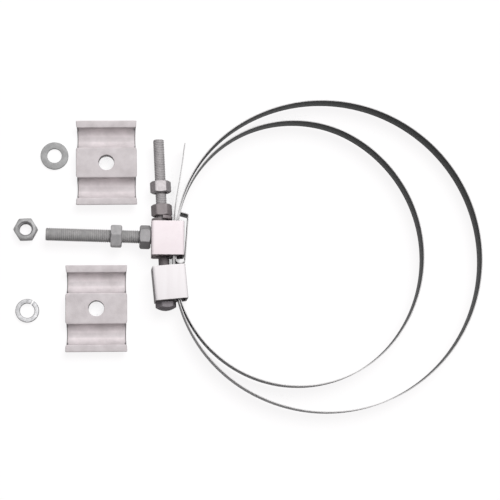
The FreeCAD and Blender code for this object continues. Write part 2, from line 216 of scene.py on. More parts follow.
# %% A recipe for metal finishes
ALIKE = (1.0, 1.0, 1.0)
GLOSS_SPREAD, BUMP_DISTANCE, RAMP_START, RAMP_FULL = 0.08, 0.0002, 0.32, 0.68
# A Mix node has sockets for each kind of data. These are its factor and its colours.
MIX_FACTOR, MIX_FIRST, MIX_SECOND, MIX_RESULT = 0, 6, 7, 2


def node(tree, kind, operation=None, **values):
    """A new shader node, with its sockets' values: To_Min stands for the socket To Min."""
    made = tree.nodes.new("ShaderNode" + kind)
    if operation:
        made.operation = operation
    for socket, value in values.items():
        made.inputs[socket.replace("_", " ")].default_value = value
    return made


def toned(tree, value, dark, pale):
    """A ramp from dark to pale over the middle third of a noise."""
    tone = node(tree, "ValToRGB")
    low, high = tone.color_ramp.elements
    low.position, low.color = RAMP_START, (*dark, 1)
    high.position, high.color = RAMP_FULL, (*pale, 1)
    tree.links.new(value, tone.inputs["Fac"])
    return tone.outputs["Color"]


def facing(tree, axis):
    """The size of the normal's part along an axis: 1 on a face square to it, and 0 on a face
    that the axis lies in."""
    normal = node(tree, "NewGeometry")
    split = node(tree, "SeparateXYZ")
    size = node(tree, "Math", "ABSOLUTE")
    tree.links.new(normal.outputs["Normal"], split.inputs["Vector"])
    tree.links.new(split.outputs[axis], size.inputs[0])
    return size.outputs["Value"]


def outwardness(tree, middle):
    """The dot product of the normal and the way from a middle point, over zero outside."""
    normal = node(tree, "NewGeometry")
    where = node(tree, "TexCoord")
    away = node(tree, "VectorMath", "SUBTRACT")
    away.inputs[1].default_value = middle
    product = node(tree, "VectorMath", "DOT_PRODUCT")
    tree.links.new(where.outputs["Object"], away.inputs[0])
    tree.links.new(away.outputs["Vector"], product.inputs[0])
    tree.links.new(normal.outputs["Normal"], product.inputs[1])
    return product.outputs["Value"]


def blended(tree, value, start, full, first, second):
    """The first colour up to the start, the second from full on, and a mix between."""
    mask = node(tree, "MapRange", From_Min=start, From_Max=full)
    blend = node(tree, "Mix")
    blend.data_type = "RGBA"
    tree.links.new(value, mask.inputs["Value"])
    tree.links.new(mask.outputs["Result"], blend.inputs[MIX_FACTOR])
    tree.links.new(first, blend.inputs[MIX_FIRST])
    tree.links.new(second, blend.inputs[MIX_SECOND])
    return blend.outputs[MIX_RESULT]


def finish(name, dark, pale, scale=220, stretch=ALIKE, metallic=0.1, rough=0.55, bump=0.4,
           grain=1500, mirror=0.3, painted_shading=()):
    """Colour = mix(dark, pale) by noise at this scale on stretched object coordinates.
    Roughness = rough plus a little fine noise. The bump's height is the grain noise. A zone
    gives two other tones to the faces that look along an axis, or away from a point, with
    where that starts and is full."""
    material = bpy.data.materials.new(name)
    material.use_nodes = True
    tree = material.node_tree
    links = tree.links
    shader = tree.nodes["Principled BSDF"]
    shader.inputs["Metallic"].default_value = metallic
    shader.inputs["Specular IOR Level"].default_value = mirror
    where = node(tree, "TexCoord")
    spread = node(tree, "Mapping", Scale=stretch)
    broad = node(tree, "TexNoise", Scale=scale, Detail=5.0, Roughness=0.6)
    fine = node(tree, "TexNoise", Scale=grain, Detail=3.0, Roughness=0.7)
    gloss = node(tree, "MapRange", To_Min=rough - GLOSS_SPREAD, To_Max=rough + GLOSS_SPREAD)
    relief = node(tree, "Bump", Strength=bump, Distance=BUMP_DISTANCE)
    links.new(where.outputs["Object"], spread.inputs["Vector"])
    links.new(spread.outputs["Vector"], broad.inputs["Vector"])
    links.new(spread.outputs["Vector"], fine.inputs["Vector"])
    links.new(fine.outputs["Fac"], gloss.inputs["Value"])
    links.new(fine.outputs["Fac"], relief.inputs["Height"])
    links.new(gloss.outputs["Result"], shader.inputs["Roughness"])
    links.new(relief.outputs["Normal"], shader.inputs["Normal"])
    drift = broad.outputs["Fac"]
    colour = toned(tree, drift, dark, pale)
    # Each zone paints light and shade into the colour: faces that look along an axis, or away from
    # a point, get lighter or darker tones for the way the lamp falls on them.
    for side, zone_dark, zone_pale, start, full in painted_shading:
        share = facing(tree, side) if side in ("X", "Z") else outwardness(tree, side)
        colour = blended(tree, share, start, full, colour,
                         toned(tree, drift, zone_dark, zone_pale))
    links.new(colour, shader.inputs["Base Color"])
    return material


# %% [markdown]
# A finish is called with its dark and its pale tone and the size of its pattern. What isn't
# said is as on plain galvanised steel. The zinc on each piece has a tone of its own, but the
# shank's dark tone is painted shade, and each zone paints light and shade by the way a face looks.

# %% The finishes
LOOP_MIDDLE = tuple((on_table + (115.0, -11.0, 0)) / MM)
zinc_bolt = finish("bolt_thread", (0.34, 0.325, 0.33), (0.44, 0.42, 0.425))
zinc_stud = finish("stud_thread", (0.29, 0.285, 0.285), (0.38, 0.37, 0.37))
# The shank's dark tones are painted shade, for the shadow between the two brackets.
zinc_shank_painted_shade = finish("shank_painted_shade", (0.12, 0.105, 0.11), (0.17, 0.15, 0.155),
                    rough=0.6, bump=0.6, mirror=0.2)
# The head's tones are darker than the thread's.
zinc_head = finish("head_darker_tone", (0.17, 0.155, 0.165), (0.24, 0.22, 0.235),
                   rough=0.6, bump=0.6, mirror=0.2)
zinc_tension = finish("dull_galvanised", (0.21, 0.185, 0.19), (0.28, 0.25, 0.255), bump=0.5)
# Painted light: this nut's faces that look up get paler tones than its sides.
zinc_base = finish("grey_galvanised", (0.23, 0.225, 0.23), (0.30, 0.29, 0.295), bump=0.5,
                   painted_shading=[("Z", (0.28, 0.275, 0.28), (0.35, 0.34, 0.345), 0.8, 0.95)])
# Painted light: the lock nut's faces that look up get much paler tones than its sides.
zinc_bright = finish("bright_galvanised", (0.29, 0.27, 0.28), (0.39, 0.365, 0.375), 260,
                     metallic=0.15, rough=0.5,
                     painted_shading=[("Z", (0.46, 0.43, 0.44), (0.58, 0.545, 0.555), 0.6, 0.85)])
# Painted light: the middle nut's faces that look up get paler tones than its sides.
zinc_middle = finish("pale_galvanised", (0.27, 0.265, 0.27), (0.36, 0.35, 0.355), 260,
                     metallic=0.15, rough=0.5,
                     painted_shading=[("Z", (0.43, 0.425, 0.43), (0.55, 0.54, 0.545), 0.8, 0.95)])
# Painted light: the loose nut's faces that look up get paler tones than its sides.
zinc_nut = finish("grey_nut", (0.25, 0.245, 0.25), (0.33, 0.325, 0.33), 260,
                  metallic=0.15, rough=0.5,
                  painted_shading=[("Z", (0.26, 0.26, 0.26), (0.38, 0.38, 0.38), 0.8, 0.95)])
zinc_washer = finish("grey_washer", (0.24, 0.24, 0.24), (0.33, 0.33, 0.33), 240,
                     metallic=0.15, rough=0.5)
# Painted light and shade: the loose spring washer's faces that look up get pale tones, and its
# upright faces a dark base tone.
zinc_loose = finish("bright_washer", (0.14, 0.14, 0.145), (0.22, 0.22, 0.225), 300,
                    metallic=0.15, rough=0.45, mirror=0.4,
                    painted_shading=[("Z", (0.32, 0.32, 0.33), (0.66, 0.66, 0.67), 0.72, 0.96)])
# Painted shade: this bracket's upright faces, its sides and walls, get a dark base tone; faces that
# look up or down get the near-white tones of its zinc.
bracket_upper = finish("pink_white_zinc", (0.22, 0.18, 0.185), (0.30, 0.25, 0.26), 60,
                       metallic=0.0, bump=0.15, grain=900, mirror=0.15,
                       painted_shading=[("Z", (0.90, 0.81, 0.84), (0.95, 0.87, 0.895), 0.2, 0.5)])
# Painted shade: this bracket's upright faces, its sides and walls, get a dark base tone; faces that
# look up or down get the near-white tones of its zinc.
bracket_lower = finish("brushed_white_zinc", (0.22, 0.20, 0.205), (0.31, 0.285, 0.29), 150,
                       (1, 0.05, 1), metallic=0.0, bump=0.3, grain=900, mirror=0.15,
                       painted_shading=[("Z", (0.85, 0.81, 0.825), (0.91, 0.875, 0.89), 0.2, 0.5)])
# Painted shade and light: the band's side that faces the loops' middle gets a near-black tone, its
# outer side grey, and its edges pale tones that are partly painted light.
band_steel = finish("band_steel", (0.026, 0.028, 0.028), (0.042, 0.045, 0.045), 40, (1, 1, 14),
                    metallic=0.0, rough=0.42, bump=0.2, grain=500, mirror=0.04,
                    painted_shading=[(LOOP_MIDDLE, (0.40, 0.395, 0.40), (0.52, 0.515, 0.52), -0.02, 0.02),
                           ("Z", (0.56, 0.55, 0.55), (0.72, 0.705, 0.71), 0.2, 0.5)])
# Painted light and shade: faces of the casting that tilt up get paler tones than its upright walls,
# its flat tops a little less pale, and its ends that look along X dark tones.
cast_metal = finish("cast_aluminium", (0.42, 0.385, 0.395), (0.52, 0.48, 0.49), 90,
                    rough=0.6, bump=0.8, grain=1100, mirror=0.4,
                    painted_shading=[("Z", (0.57, 0.525, 0.535), (0.72, 0.66, 0.675), 0.10, 0.36),
                           ("Z", (0.47, 0.43, 0.44), (0.58, 0.54, 0.55), 0.95, 0.995),
                           ("X", (0.20, 0.18, 0.185), (0.28, 0.255, 0.26), 0.35, 0.7)])
print("Finishes:", len(bpy.data.materials))

# %% [markdown]
# ## The buckle's two brackets
# Each bracket is one piece of sheet folded into a box that is open at two ends, with a tab
# folded in at each open end to carry the bolt. A box with a Solidify modifier would give the
# walls, but the folds of real sheet are round inside and out. So the sheet's section, a rounded
# box 2 mm thick and as tall as the bracket, is carried once round a rounded rectangle.

# %% Brackets
BRACKET_WIDTH, BRACKET_HEIGHT, BRACKET_DEPTH, SHEET, BEND = 28.2, 29.4, 25.5, 2.0, 1.0
BOLT_SIDE, TAB_LENGTH, TAB_SLIT, BOLT_HOLE = 10.1, 17.5, 0.3, 6.15
SHEET_EDGE, TAB_CORNER, TAB_EDGE, TAB_STEPS = 0.35, 1.2, 0.3, 6
UPPER_TURN, LOWER_TURN, LOWER_ROLL, BRACKET_GAP = 0.3, 6.0, 2.3, 9.2
RIGHT_FACE = BRACKET_WIDTH - BOLT_SIDE
HALF_HEIGHT = BRACKET_HEIGHT / 2
AXIS_HEIGHT = BRACKET_DEPTH / 2


def bracket_walls():
    """The middle line of the sheet is a rounded rectangle in the X-Z plane. Its normal points
    outwards, and the section's x goes along the normal and its y along the bracket's height."""
    x, z = rounded_box(BRACKET_WIDTH - SHEET, BRACKET_DEPTH - SHEET, BEND + SHEET / 2, 8)
    path = np.stack([x + RIGHT_FACE - BRACKET_WIDTH / 2, 0 * x, z], 1)
    along = np.roll(path, -1, 0) - np.roll(path, 1, 0)
    normal = np.stack([along[:, 2], 0 * x, -along[:, 0]], 1)
    normal /= np.linalg.norm(normal, axis=1)[:, None]
    up = np.tile((0.0, 1.0, 0.0), (len(path), 1))
    section = rounded_box(SHEET, BRACKET_HEIGHT, SHEET_EDGE, 3)
    return grid(carried(path, normal, up, section, False), True)


def at_heights(levels):
    """A grid of points from flat outlines, each with its own height."""
    return np.stack([np.column_stack((outline, np.full(len(outline), z))) for outline, z in levels])


def pierced(outline, hole_radius, low, high, soft):
    """A flat plate with a round hole, as one closed grid: the outline, the edges' quarter
    rounds and the hole's wall are rings of points, all on the same rays from the hole's axis."""
    ray = outline / np.linalg.norm(outline, axis=1)[:, None]
    turn = np.linspace(0, math.pi / 2, 4)
    edge = list(zip(soft * (1 - np.sin(turn)), soft * (1 - np.cos(turn))))
    levels = [(outline - ray * inset, low + drop) for inset, drop in edge]
    levels += [(outline - ray * inset, high - drop) for inset, drop in edge[::-1]]
    levels += [(ray * (hole_radius + inset), high - drop) for inset, drop in edge]
    levels += [(ray * (hole_radius + inset), low + drop) for inset, drop in edge[::-1]]
    return at_heights(levels)


def bracket(place):
    """The walls and the two tabs, made about the bolt's axis and then put in place."""
    parts = [bracket_walls()]
    left = -BOLT_SIDE + SHEET / 2
    right = TAB_LENGTH - BOLT_SIDE
    tab_depth = BRACKET_DEPTH - 2 * SHEET - 2 * TAB_SLIT
    x, z = rounded_box(right - left, tab_depth, TAB_CORNER, 5)
    dense = np.linspace(0, 1, TAB_STEPS, endpoint=False)
    ring = np.stack([x + (left + right) / 2, z], 1)
    step = np.roll(ring, -1, 0) - ring
    ring = (ring[:, None] + step[:, None] * dense[None, :, None]).reshape(-1, 2)
    for low in (HALF_HEIGHT - SHEET, -HALF_HEIGHT):
        tab = pierced(ring, BOLT_HOLE, low, low + SHEET, TAB_EDGE)
        parts.append(grid(tab[..., [0, 2, 1]], True))
    return [(place(points), faces) for points, faces in parts]


def place_upper(points):
    """The upper bracket stands on the table with a slight turn."""
    return turned(points, UPPER_TURN, (0, 0, AXIS_HEIGHT))


def place_lower(points):
    """The lower bracket is rolled onto its right fold and turned, further down the bolt."""
    c, s = math.cos(math.radians(LOWER_ROLL)), math.sin(math.radians(LOWER_ROLL))
    bend = SHEET + BEND
    height = (RIGHT_FACE - bend) * s + (AXIS_HEIGHT - bend) * c + bend
    foot = -bolt_axis * (BRACKET_HEIGHT + BRACKET_GAP)
    rolled = points @ np.array([(c, 0, -s), (0, 1, 0), (s, 0, c)])
    return turned(rolled, LOWER_TURN, (foot[0], foot[1], height))


put("upper_bracket_folded", bracket(place_upper), "root", ["upper_bracket"],
    bracket_upper)
put("lower_bracket_folded", bracket(place_lower), "bolt", ["lower_bracket"],
    bracket_lower)

# %% [markdown]
# ## Threaded pieces
# A screw thread is a ridge that climbs one pitch in each turn. It could be modelled with a
# Screw modifier, but the ends then need trimming. As a surface it is one formula: the radius at
# height z and angle a depends only on how far z is above the ridge at that angle, which is the
# fraction part of z / pitch - a / turn. Every ring of the grid keeps its own height, and the
# ridge travels round it. The flanks are straight and the crests and roots flat, as rolled
# threads are, and galvanising softens them, so a smooth step rounds the corners.

# %% Thread and hexagon formulas
AROUND = np.linspace(0, 2 * math.pi, 144, endpoint=False)
CREST, FLANK = 0.06, 0.36
HEX_FACE, CORNER_ROOM, CORNER_SOFT = 0.95, 0.1, 0.3
CHAMFER, CHAMFER_ZONE, RIM_SOFT = math.tan(math.radians(30)), 2.2, 0.25


def thread(z, angle, pitch):
    """1 on the crest, 0 in the root: the distance from the crest in turns, from 0 to one half,
    goes through a smooth step that starts at CREST and is FLANK long. Right-hand."""
    phase = np.abs((z / pitch - angle / (2 * math.pi) + 0.5) % 1 - 0.5)
    t = np.clip((phase - CREST) / FLANK, 0, 1)
    return 1 - t * t * (3 - 2 * t)


def smaller(a, b, softness):
    """The smaller of two distances, with a soft corner where they cross."""
    gap = np.abs(a - b)
    return np.minimum(a, b) - np.maximum(softness - gap, 0) ** 2 / (4 * softness)


def hexagon(flats, corners, first_corner):
    """Distance to the sides of a hexagon along each ray: half the flats over the cosine of the
    angle to the nearest side's middle, softly held to about half the corners."""
    to_side = (AROUND - math.radians(first_corner)) % (math.pi / 3) - math.pi / 6
    return smaller(flats / 2 / np.cos(to_side), corners / 2 + CORNER_ROOM, CORNER_SOFT)[None]


def rings(radius, height, closed):
    """Rings of points about +Z: radius and height are given ring by ring and angle by angle."""
    angle = np.linspace(0, 2 * math.pi, radius.shape[1], endpoint=False)
    points = np.stack([radius * np.cos(angle), radius * np.sin(angle), height], -1)
    return grid(points, closed)


def hex_sides(flats, corners, first_corner, height):
    """Rings up a hexagon's sides, closest together at the chamfered ends. There the radius is
    also limited by a cone that starts at the flat end's disc and opens at 30 degrees to it."""
    z = np.concatenate([np.linspace(0, CHAMFER_ZONE, 12),
                        np.linspace(CHAMFER_ZONE, height - CHAMFER_ZONE, 5)[1:-1],
                        np.linspace(height - CHAMFER_ZONE, height, 12)])[:, None]
    face = flats / 2 * HEX_FACE
    r = np.repeat(hexagon(flats, corners, first_corner), len(z), 0)
    r = smaller(r, face + z / CHAMFER, RIM_SOFT)
    r = smaller(r, face + (height - z) / CHAMFER, RIM_SOFT)
    return r, z + 0 * r


# %% [markdown]
# A nut is a closed grid: the rings go up the six sides, in over the top face, down the bore and
# out under the bottom face. A nut that sits on a rod has a plain bore, since nothing of it
# shows. The loose nut's bore has its thread.

# %% Nuts
NUT_THREAD, COUNTERSINK = 0.9, 0.6


def nut(flats, corners, height, bore, first_corner, pitch=None):
    """Sides, top face, countersink, bore, countersink and bottom face, as one closed grid. The
    bore is threaded if there is a pitch."""
    side_r, side_z = hex_sides(flats, corners, first_corner, height)
    z = np.linspace(height, 0, 90 if pitch else 4)[:, None]
    r = np.full((len(z), len(AROUND)), float(bore))
    if pitch:
        r = bore - NUT_THREAD + NUT_THREAD * (1 - thread(z, AROUND[None], pitch))
    r = np.maximum(r, bore + COUNTERSINK - np.minimum(z, height - z))
    return rings(np.concatenate([side_r, r]), np.concatenate([side_z, z + 0 * r]), True)


# %% [markdown]
# The bolt's head, the spring washer and the stud's base nut are seated with a twentieth of a
# millimetre of room. Where a rod leans against the face it passes through, the piece on it
# touches with its rim first, so its seat stands off by its radius times the lean's tangent. The
# lock nut and the stud's middle nut stand a gap away from the nut before them.

# %% Seats along the bolt and the stud
BOLT_RADIUS, BOLT_LENGTH, BOLT_FLATS, BOLT_CORNERS = 5.0, 141.4, 16.0, 17.8
BOLT_NUT, BOLT_HEAD, BOLT_PITCH, BOLT_LEAN = 10.0, 7.7, 1.5, 3.05
STUD_RADIUS, STUD_FLATS, STUD_CORNERS = 6.0, 18.0, 20.8
STUD_NUT, STUD_PITCH, STUD_REACH, STUD_RISE = 9.6, 1.75, 89.8, 2.0
STUD_LEAN, STUD_TO_BRACKET = 1.1, 1.4
WASHER_SECTION, WASHER_WIDTH, WASHER_RISE, WASHER_REACH = 2.2, 3.9, 3.0, 9.0
ROOM, WASHER_ROOM, LOCK_GAP, STUD_GAP = 0.05, 0.1, 10.4, 15.05
lean = math.radians(BOLT_LEAN)
lower_distance = BRACKET_HEIGHT + BRACKET_GAP
head_lean = math.radians(LOWER_TURN) - lean
head_seat = (lower_distance + HALF_HEIGHT / math.cos(head_lean)
             + BOLT_FLATS / math.sqrt(3) * math.tan(head_lean) + ROOM)
washer_seat = HALF_HEIGHT + ROOM + WASHER_REACH * math.tan(lean - math.radians(UPPER_TURN))
tension_seat = washer_seat + WASHER_SECTION + WASHER_RISE + WASHER_ROOM
lock_seat = tension_seat + BOLT_NUT + LOCK_GAP
bolt_middle = np.array((0, 0, AXIS_HEIGHT))
stud_lean = math.radians(STUD_LEAN)
stud_axis = np.array((-math.cos(stud_lean), math.sin(stud_lean), 0))
stud_foot = np.array((-BOLT_SIDE, STUD_RISE, AXIS_HEIGHT))
base_seat = STUD_FLATS / math.sqrt(3) * math.tan(math.radians(STUD_TO_BRACKET)) + ROOM
base_seat += (HALF_HEIGHT - STUD_RISE) * math.tan(math.radians(UPPER_TURN))
middle_seat = base_seat + STUD_NUT + STUD_GAP
seats = (tension_seat, lock_seat, base_seat, middle_seat)
print("Nut seats on bolt and stud, mm:", [round(seat, 2) for seat in seats])


def along_bolt(part, distance):
    """A part made about +Z, laid along the bolt at a distance from the crossing point."""
    return [(laid(part[0], bolt_middle + bolt_axis * distance, bolt_axis), part[1])]


def along_stud(part, distance):
    """A part made about +Z, laid along the stud at a distance from its foot."""
    return [(laid(part[0], stud_foot + stud_axis * distance, stud_axis), part[1])]


# %% Put the nuts on
PLATE_NUT_SPOT, PLATE_NUT_TURN = (-117.7, 8.8, 0), 3.0
bolt_nut = nut(BOLT_FLATS, BOLT_CORNERS, BOLT_NUT, BOLT_RADIUS + ROOM, 30)
for name, seat, metal in (("tension_nut", tension_seat, zinc_tension),
                          ("lock_nut", lock_seat, zinc_bright)):
    put(name + "_turned", along_bolt(bolt_nut, seat), name, [name], metal)
stud_nuts = (("stud_base_nut", base_seat, 30, "root", zinc_base),
             ("stud_middle_nut", middle_seat, 0, "stud_nut", zinc_middle))
for name, seat, corner, body, metal in stud_nuts:
    shape = nut(STUD_FLATS, STUD_CORNERS, STUD_NUT, STUD_RADIUS + ROOM, corner)
    put(name + "_turned", along_stud(shape, seat), body, [name], metal)
points, faces = nut(STUD_FLATS, STUD_CORNERS, STUD_NUT, STUD_RADIUS + ROOM, PLATE_NUT_TURN,
                    STUD_PITCH)
put("plate_nut_threaded", [(points + PLATE_NUT_SPOT, faces)], "root", ["plate_nut"],
    zinc_nut)

# %% [markdown]
# The bolt and the stud are rings that climb a rod, with a ring of radius zero at each end. The
# bolt is drawn in three pieces, since its forged head, its plain shank and its thread differ in
# tone: the head is darker than the thread, and the shank's dark tone is painted shade, for the
# shadow between the brackets. The head's end is a little domed: a point on it drops back with
# the square of its distance from the axis.

# %% Bolt and stud
ROD_ANGLES = np.linspace(0, 2 * math.pi, 48, endpoint=False)
RINGS_PER_MM, ROD_CHAMFER, SHANK_CHAMFER = 6, 0.5, 0.3
HEAD_CROWN, HEAD_TURN, THREAD_START = 3.0, 40, 11.0
SHANK_RADIUS, SHANK_IN_HEAD, SHANK_MORE = 4.6, 3.2, 3.4
BOLT_CREST, BOLT_DEPTH, STUD_CREST, STUD_DEPTH, STUD_INSIDE = 4.7, 0.4, 5.6, 0.55, 0.7


def rod(radius, length, pitch, depth, chamfer):
    """A rod along +Z from z = 0, with a thread cut to this depth. At both ends its radius is
    also limited by a cone at 45 degrees, and a ring of no radius closes it."""
    z = np.linspace(0, length, int(length * RINGS_PER_MM))[:, None]
    r = radius - depth + depth * thread(z, ROD_ANGLES[None], pitch)
    r = np.minimum(r, radius - chamfer + np.minimum(z, length - z))
    nothing = np.zeros((1, len(ROD_ANGLES)))
    height = np.concatenate([nothing, z + 0 * r, nothing + length])
    return rings(np.concatenate([nothing, r, nothing]), height, False)


def bolt_head():
    """z = crown * (r / corner)^2 is the domed end, and the sides stand between it and the seat."""
    side = hexagon(BOLT_FLATS, BOLT_CORNERS, HEAD_TURN)
    share = np.sin(np.linspace(0, math.pi / 2, 16))[:, None]
    r = np.concatenate([side * share, np.repeat(side, 6, 0), 0 * side])
    dome = HEAD_CROWN * (side * share / (BOLT_CORNERS / 2)) ** 2
    up = np.linspace(0, 1, 7)[1:, None]
    sides = dome[-1:] + (BOLT_HEAD - dome[-1:]) * up
    return rings(r, np.concatenate([dome, sides, 0 * side + BOLT_HEAD]), False)


shank = rod(SHANK_RADIUS, head_seat - THREAD_START + SHANK_MORE, BOLT_PITCH, 0.0, SHANK_CHAMFER)
threaded = rod(BOLT_CREST, BOLT_LENGTH - head_seat + THREAD_START, BOLT_PITCH, BOLT_DEPTH,
               ROD_CHAMFER)
stud = rod(STUD_CREST, STUD_REACH + SHEET + STUD_INSIDE, STUD_PITCH, STUD_DEPTH, ROD_CHAMFER)
for name, shape, start, metal in (("head", bolt_head(), -head_seat - BOLT_HEAD, zinc_head),
                                  ("shank", shank, -head_seat - SHANK_IN_HEAD, zinc_shank_painted_shade),
                                  ("threaded", threaded, -THREAD_START, zinc_bolt)):
    put("tension_bolt_" + name, along_bolt(shape, start), "bolt", ["tension_bolt"],
        metal)
put("standoff_stud_threaded", along_stud(stud, -SHEET - STUD_INSIDE), "root",
    ["standoff_stud"], zinc_stud)

# %% [markdown]
# ## Washers
# A split spring washer is one turn of flat bar wound like a left-hand screw, so its two ends
# stand apart and bite when a nut comes down on them. Its section is carried along the helix.
# The flat washer is the pierced plate again, with a circle for an outline.

# %% Washers
WASHER_THICKER, LOOSE_TURN, LOOSE_SPOT = 0.8, 61.0, (-114.9, -61.1, 0)
FLAT_RADIUS, FLAT_THICKNESS, FLAT_EDGE, FLAT_SPOT = 12.0, 2.5, 0.35, (-94.6, 74.7, 0)


def spring_washer(inner_radius, width, section, rise, slit, soft):
    """The path goes round from one side of the slit to the other, falling as the angle grows:
    z = rise * (1 - angle / turn) above half the section."""
    angle = np.radians(np.linspace(slit / 2, 360 - slit / 2, 90))
    outwards = np.stack([np.cos(angle), np.sin(angle), 0 * angle], 1)
    height = section / 2 + rise * (1 - (angle - angle[0]) / (angle[-1] - angle[0]))
    path = outwards * (inner_radius + width / 2)
    path[:, 2] = height
    up = np.tile((0.0, 0.0, 1.0), (len(angle), 1))
    return grid(carried(path, outwards, up, rounded_box(width, section, soft, 5), True))


shape = spring_washer(BOLT_RADIUS + 0.1, WASHER_WIDTH, WASHER_SECTION + WASHER_THICKER,
                      WASHER_RISE - WASHER_THICKER, slit=10.0, soft=0.6)
put("tension_spring_washer_split", along_bolt(shape, washer_seat), "root",
    ["tension_spring_washer"], zinc_tension)
points, faces = spring_washer(STUD_RADIUS + 0.15, width=3.85, section=2.5, rise=2.5, slit=9.0,
                              soft=0.75)
put("plate_spring_washer_split", [(turned(points, LOOSE_TURN, LOOSE_SPOT), faces)], "root",
    ["plate_spring_washer"], zinc_loose)
circle = np.stack([np.cos(AROUND), np.sin(AROUND)], 1) * FLAT_RADIUS
points, faces = grid(pierced(circle, STUD_RADIUS + 0.3, 0.0, FLAT_THICKNESS, FLAT_EDGE), True)
put("plate_washer_flat", [(points + FLAT_SPOT, faces)], "root", ["plate_washer"],
    zinc_washer)

# %% [markdown]
# ## The band
# The band is one strip of thin steel standing on its edge. It is hooked over the upper
# bracket's right wall, goes up through the brackets and round the pole twice, and its free tail
# comes up out of the buckle. A curve object with a bevel would follow hand-placed points, but
# the real strip is bent from straights and plain arcs, so its path is built the same way: each
# run starts where the last one ended and keeps its heading. Then a rounded box, 0.8 by 19 mm,
# is carried along it.

# %% Path of straights and arcs
BAND_THICKNESS, BAND_WIDTH, BAND_EDGE, BAND_LIFT = 0.8, 19.0, 0.3, 3.3
FIRST_STRAND, SECOND_STRAND, STRAND_SPACING = 11.9, 10.6, 1.0
STRAND_LEAN, STRAND_SHORT, STRAND_BOW, STRAND_BOW_TURN = 3.7, 12.5, 25.0, 7.0
HOOK_ROOM, HOOK_RISE, HOOK_BEND, HOOK_TURN, HOOK_FLAP, FOLD_DROP = 0.3, 5.3, 1.2, 75, 5.8, 2.8
RISE_HEADING, RISE_RADIUS, RISE_STRAIGHT = 96.0, 60.0, 12.3
INNER_LOW, OUTER_LOW, INNER_END, OUTER_END = 82.6, 109.5, 108.0, 105.0
TAIL_LEAN, TAIL_BOW, TAIL_BOW_TURN = 1.4, 190.0, -7.6
TAIL_STRAIGHT, TAIL_END, TAIL_END_TURN = 18.0, 26.0, 3.0
# Each loop's main circle: its radius and its middle.
INNER_LOOP, OUTER_LOOP = (118.9, 105.9, -11.2), (135.5, 140.3, -11.7)


def heading(degrees):
    """Unit vectors for headings in degrees from +X, counterclockwise."""
    a = np.radians(degrees)
    return np.stack([np.cos(a), np.sin(a)], -1)


def run(start, direction, length):
    """A straight run: its two ends, with the same heading at both."""
    start = np.asarray(start, float)
    return np.stack([start, start + heading(direction) * length]), np.full(2, float(direction))


def bend(start, direction, radius, angle):
    """An arc that leaves along the direction: the centre lies a radius to the turning side, and
    the points swing round it in steps of about two degrees."""
    side = 90 * math.copysign(1, angle)
    centre = np.asarray(start, float) + heading(direction + side) * radius
    directions = np.linspace(direction, direction + angle, max(4, int(abs(angle) / 2)))
    return centre + heading(directions - side) * radius, directions


def chain(start, direction, *steps):
    """Runs and bends one after another: a step is a length, or a radius with an angle."""
    pieces = []
    for step in steps:
        curved = isinstance(step, tuple)
        made = bend(start, direction, *step) if curved else run(start, direction, step)
        pieces.append(made)
        start, direction = made[0][-1], made[1][-1]
    return np.concatenate([p[0] for p in pieces]), np.concatenate([p[1] for p in pieces])


def backwards(path):
    """The same path walked the other way, with its headings turned about."""
    return path[0][::-1], path[1][::-1] + 180


def easing(point, direction, centre, radius):
    """The arc from a point and heading that runs into a circle, both turning right. Its radius
    comes from the triangle of the two centres and the point."""
    right = heading(direction - 90)
    to_centre = centre - point
    ease = (to_centre @ to_centre - radius ** 2) / (2 * (right @ to_centre - radius))
    outward = (to_centre - right * ease) * math.copysign(1, ease - radius)
    return ease, math.degrees(math.atan2(outward[1], outward[0])) - 90


def loop(start, end, circle):
    """Once round the pole: an easing arc, the main circle and an easing arc to the end."""
    radius, centre = circle[0], np.array(circle[1:])
    (p, start_heading), (q, end_heading) = start, end
    first, first_heading = easing(p, start_heading, centre, radius)
    last, last_heading = easing(q, end_heading, centre, radius)
    a = (start_heading - first_heading) % 360
    b = (last_heading - end_heading) % 360
    main = 360 + start_heading - end_heading - a - b
    return chain(p, start_heading, (first, -a), (radius, -main), (last, -b))


# %% [markdown]
# The strands are named from the hooked end on: the hook over the wall, the fold under the
# bracket, the first strand up into the inner loop, the second strand into the outer loop, and
# the tail. Two of them are drawn from the bracket down and then walked backwards.

# %% The whole strip
def strand_up(foot):
    """Through the bracket at the strands' lean, then a soft bend towards the loop."""
    lean_angle = math.radians(STRAND_LEAN)
    rise = (HALF_HEIGHT - STRAND_SHORT * math.sin(lean_angle)) / math.cos(lean_angle)
    return chain((foot, 0.0), 90 - STRAND_LEAN, rise, (STRAND_BOW, STRAND_LEAN - STRAND_BOW_TURN))


